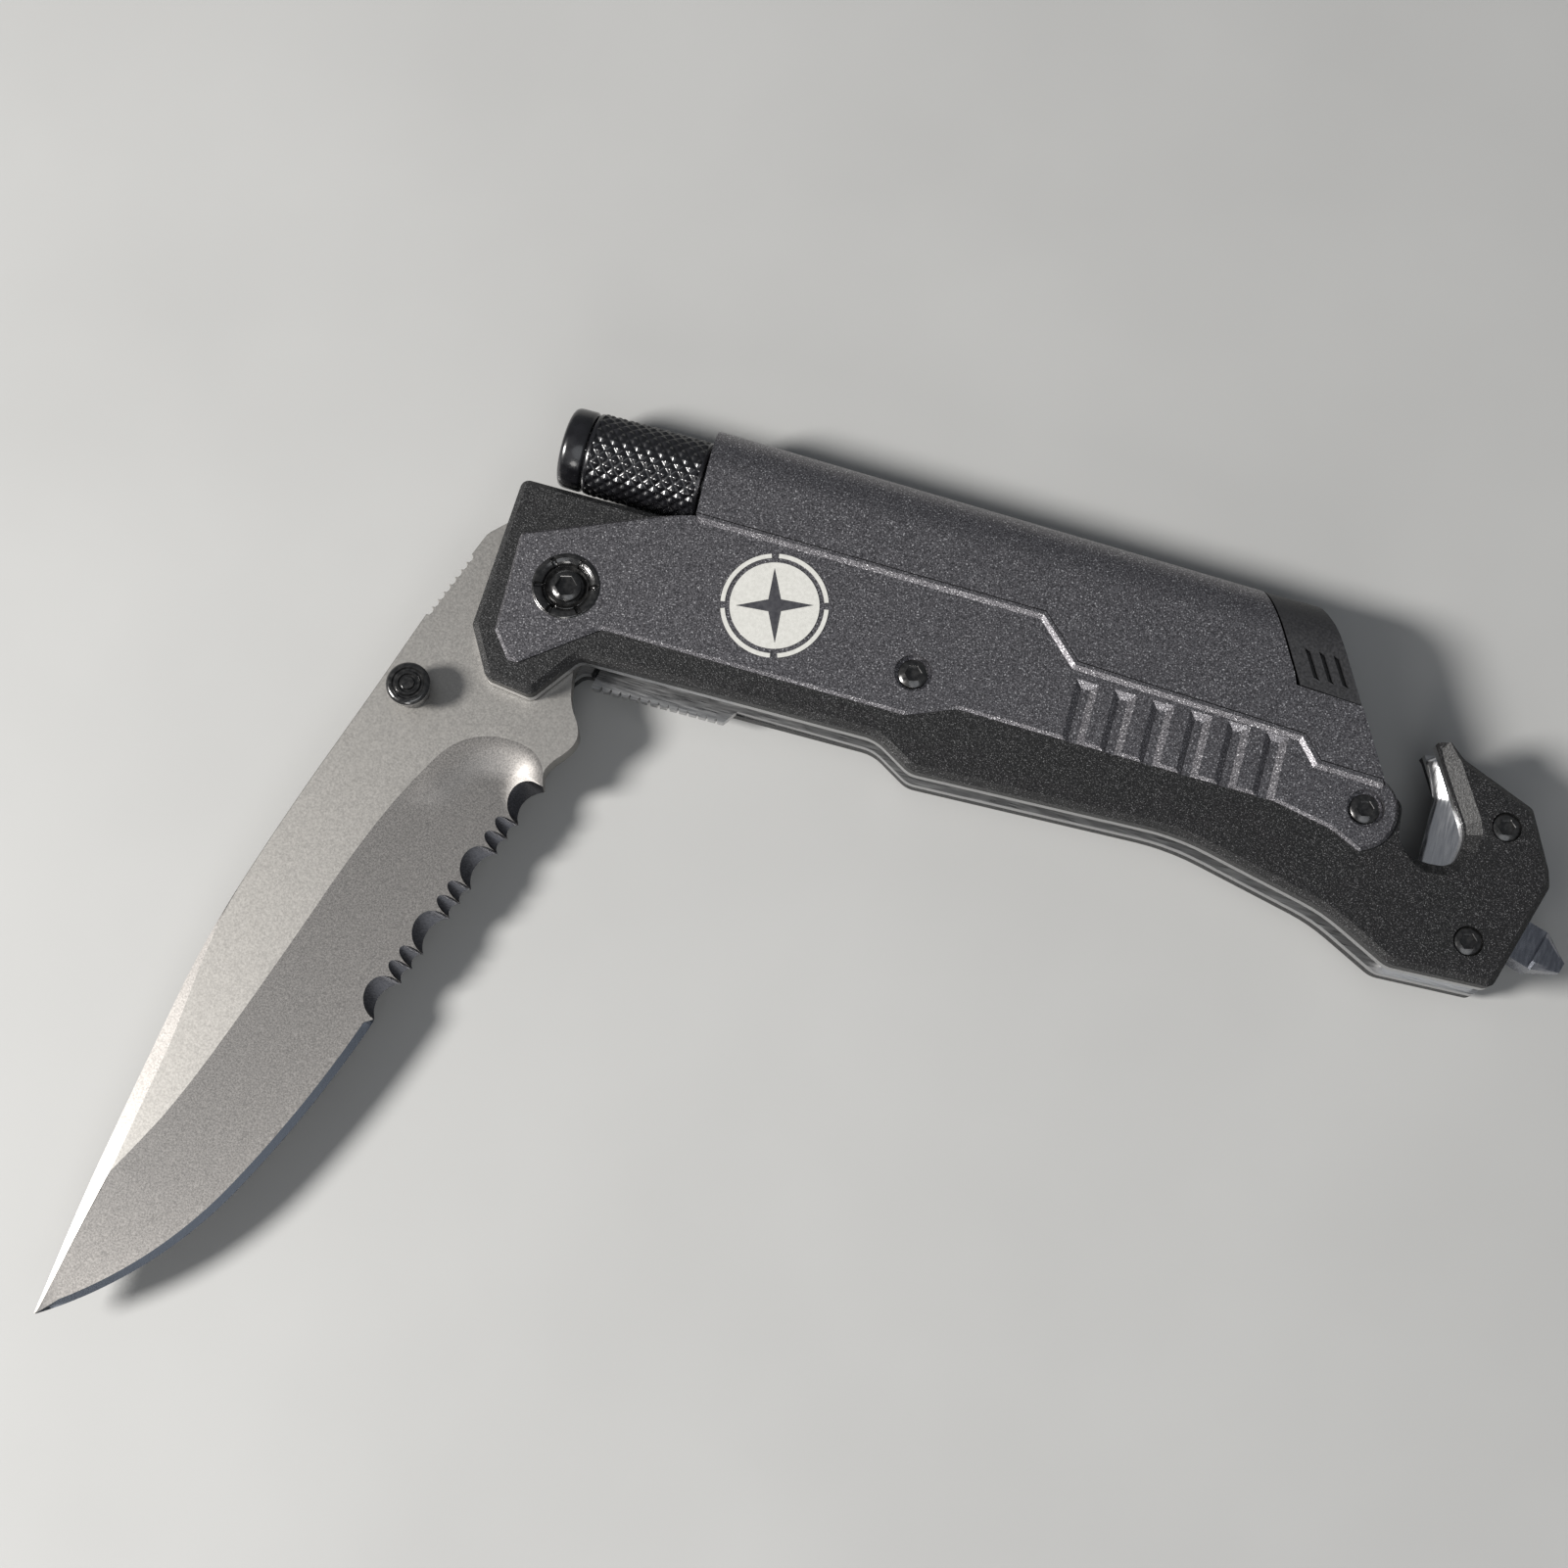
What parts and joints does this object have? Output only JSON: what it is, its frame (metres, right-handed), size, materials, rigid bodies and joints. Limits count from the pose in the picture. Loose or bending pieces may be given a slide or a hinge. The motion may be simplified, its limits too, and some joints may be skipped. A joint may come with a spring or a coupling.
{
  "type": "folding rescue knife",
  "caption": "Folding liner-lock rescue knife with a half-serrated blade, pull-out flashlight, pull-out fire starter, strap cutter and glass breaker.",
  "frame": {"origin": "centre of the pivot's head on the right-hand face, on the blade's pivot axis", "axes": "+X from the pivot to the butt, +Y from the belly to the spine, +Z from the right-hand face to the left-hand face"},
  "size_m": [0.151, 0.1173, 0.0128],
  "materials": {
    "blade_steel": "bead-blasted titanium-grey steel",
    "liner_steel": "fine-ground steel",
    "scale_black": "fine-textured black powder coat on aluminium",
    "inlay_grey": "gunmetal metallic paint on aluminium",
    "housing_grey": "gunmetal metallic paint on aluminium",
    "black_oxide": "black oxide",
    "bright_steel": "polished stainless steel",
    "lamp_black": "gloss black anodised",
    "lens_clear": "clear lens",
    "reflector_chrome": "vapour-plated reflector",
    "lamp_chip": "phosphor dome",
    "board_green": "circuit board",
    "cell_steel": "nickel-plated can",
    "bronze": "phosphor bronze",
    "grip_black": "textured black plastic",
    "ferro": "ferrocerium"
  },
  "bodies": {
    "handle": {"glass_breaker": "bright_steel", "housing_pins": "liner_steel", "left_butt_screws": "black_oxide", "left_inlay": "inlay_grey", "left_inlay_screws": "black_oxide", "left_liner": "liner_steel", "left_scale": "scale_black", "left_washer": "bronze", "pivot_barrel": "black_oxide", "pivot_collar": "black_oxide", "pivot_screw": "black_oxide", "rear_spacer": "liner_steel", "right_butt_screws": "black_oxide", "right_inlay": "inlay_grey", "right_inlay_screws": "black_oxide", "right_liner": "liner_steel", "right_scale": "scale_black", "right_washer": "bronze", "spine_housing": "housing_grey", "stop_pin": "liner_steel", "strap_cutter": "bright_steel"},
    "blade": {"blade": "blade_steel", "left_thumb_stud": "black_oxide", "right_thumb_stud": "black_oxide", "thumb_stud_pin": "black_oxide"},
    "lock_bar": {"lock_bar": "liner_steel"},
    "lamp": {"lamp_tube": "lamp_black", "lamp_contact": "bronze", "button_cells": "cell_steel", "lamp_spring": "cell_steel", "lamp_spacer": "grip_black", "lamp_tail_cap": "lamp_black"},
    "lamp_head": {"lamp_head_sleeve": "lamp_black", "lamp_bezel": "lamp_black", "lamp_lens": "lens_clear", "lamp_reflector": "reflector_chrome", "lamp_chip": "lamp_chip", "lamp_board": "board_green"},
    "fire_starter": {"fire_starter_handle": "grip_black", "ferro_rod": "ferro"}
  },
  "joints": [
    {"name": "blade_pivot", "type": "hinge", "parent": "handle", "child": "blade", "pos_m": [0, 0, 0.0064], "axis": [0, 0, 1], "range_deg": [-71.1, 103.9]},
    {"name": "lock_bar_flex", "type": "hinge", "parent": "handle", "child": "lock_bar", "pos_m": [0.05, -0.0055, 0.0041], "axis": [0, 1, 0], "range_deg": [0, 2.1], "stiffness_Nm_per_rad": 20, "deforming": ["lock_bar"]},
    {"name": "light_slide", "type": "slide", "parent": "handle", "child": "lamp", "axis": [-1, 0, 0], "range_m": [0, 0.034]},
    {"name": "light_head_twist", "type": "hinge", "parent": "lamp", "child": "lamp_head", "pos_m": [0.005, 0.0181, 0.0064], "axis": [1, 0, 0], "range_deg": [0, 90]},
    {"name": "fire_starter_slide", "type": "slide", "parent": "handle", "child": "fire_starter", "axis": [1, 0, 0], "range_m": [0, 0.036]}
  ]
}
